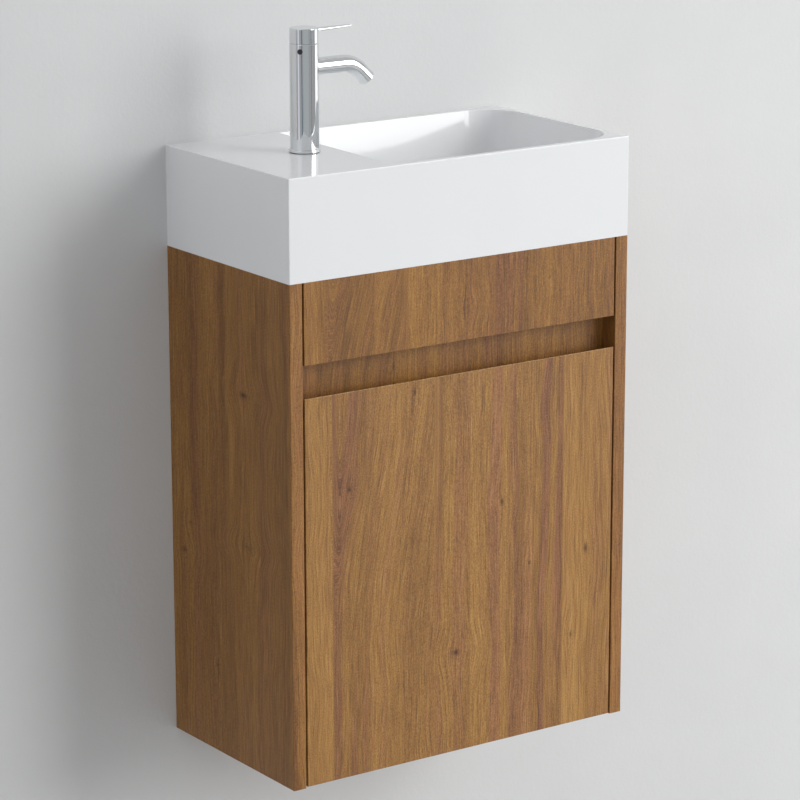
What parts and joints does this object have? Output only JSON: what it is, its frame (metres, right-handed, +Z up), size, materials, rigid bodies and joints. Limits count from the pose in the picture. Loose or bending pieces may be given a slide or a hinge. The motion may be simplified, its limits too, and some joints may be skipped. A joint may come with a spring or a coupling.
{
  "type": "wall-hung vanity unit with basin",
  "caption": "Narrow wall-hung washbasin cabinet with one hinged door, a hand gap under the fascia, a block basin with side tap deck, single-lever mixer, plug waste and bottle trap.",
  "frame": {"origin": "on the wall plane, at the middle of the width and at the height of the cabinet's underside", "axes": "+X to the right seen from the front, +Y into the wall, +Z up"},
  "size_m": [0.4, 0.22, 0.72],
  "materials": {
    "wood_veneer": "satin",
    "rail_board": "matte",
    "glazed_ceramic": "gloss",
    "chrome": "polished",
    "chromed_trap": "polished",
    "nickel_steel": "satin",
    "zinc_screws": "satin",
    "brass": "satin",
    "rubber": "matte",
    "white_plastic": "satin",
    "clear_bumper": "satin",
    "aerator_plastic": "matte",
    "index_plastic": "gloss",
    "magnet": "matte"
  },
  "bodies": {
    "cabinet": {"aerator": "aerator_plastic", "basin": "glazed_ceramic", "bottom_panel": "wood_veneer", "cam_bolts": "zinc_screws", "cam_discs": "zinc_screws", "cartridge_body": "white_plastic", "catch_housing": "white_plastic", "catch_magnet": "magnet", "catch_screws": "zinc_screws", "dome_cover": "chrome", "fascia_panel": "wood_veneer", "fascia_screws": "zinc_screws", "finger_rail": "wood_veneer", "hanging_rail": "rail_board", "hinge_arm_lower": "nickel_steel", "hinge_arm_upper": "nickel_steel", "hinge_plate_lower": "nickel_steel", "hinge_plate_screws": "zinc_screws", "hinge_plate_upper": "nickel_steel", "index_plug": "index_plastic", "lower_back_rail": "rail_board", "outlet_nut": "chromed_trap", "outlet_pipe": "chromed_trap", "shank_nut": "brass", "shank_washer": "rubber", "shelf": "wood_veneer", "shelf_pins": "nickel_steel", "side_panel_left": "wood_veneer", "side_panel_right": "wood_veneer", "spout": "chrome", "tap_base_ring": "chrome", "tap_base_seal": "rubber", "tap_body": "chrome", "trap_body": "chromed_trap", "trap_cup": "chromed_trap", "trap_dip_tube": "chromed_trap", "trap_inlet_nut": "chromed_trap", "trap_inlet_washer": "rubber", "wall_rosette": "chromed_trap", "waste_body": "chrome", "waste_bottom_seal": "rubber", "waste_nut": "white_plastic", "waste_top_seal": "rubber"},
    "door": {"door_panel": "wood_veneer", "hinge_cup_upper": "nickel_steel", "hinge_cup_lower": "nickel_steel", "hinge_pins": "nickel_steel", "cup_screws": "zinc_screws", "catch_strike": "nickel_steel", "door_bumpers": "clear_bumper"},
    "plug": {"plug_cap": "chrome", "plug_seal": "rubber", "plug_stem": "brass"},
    "mixer": {"cartridge_turret": "brass", "turret_pin": "zinc_screws"},
    "handle": {"handle_stem": "brass", "handle_cap": "chrome", "lever_rod": "chrome", "grub_screw": "zinc_screws"}
  },
  "joints": [
    {"name": "door_hinge", "type": "hinge", "parent": "cabinet", "child": "door", "pos_m": [0.175, -0.2144, 0.1945], "axis": [0, 0, 1], "range_deg": [0, 95]},
    {"name": "plug_slide", "type": "slide", "parent": "cabinet", "child": "plug", "axis": [0, 0, 1], "range_m": [-0.008, 0]},
    {"name": "mixer_turn", "type": "hinge", "parent": "cabinet", "child": "mixer", "pos_m": [-0.11, -0.11, 0.697], "axis": [0, 0, 1], "range_deg": [-45, 45]},
    {"name": "lever_lift", "type": "hinge", "parent": "mixer", "child": "handle", "pos_m": [-0.11, -0.11, 0.697], "axis": [0, -1, 0], "range_deg": [0, 18]}
  ]
}
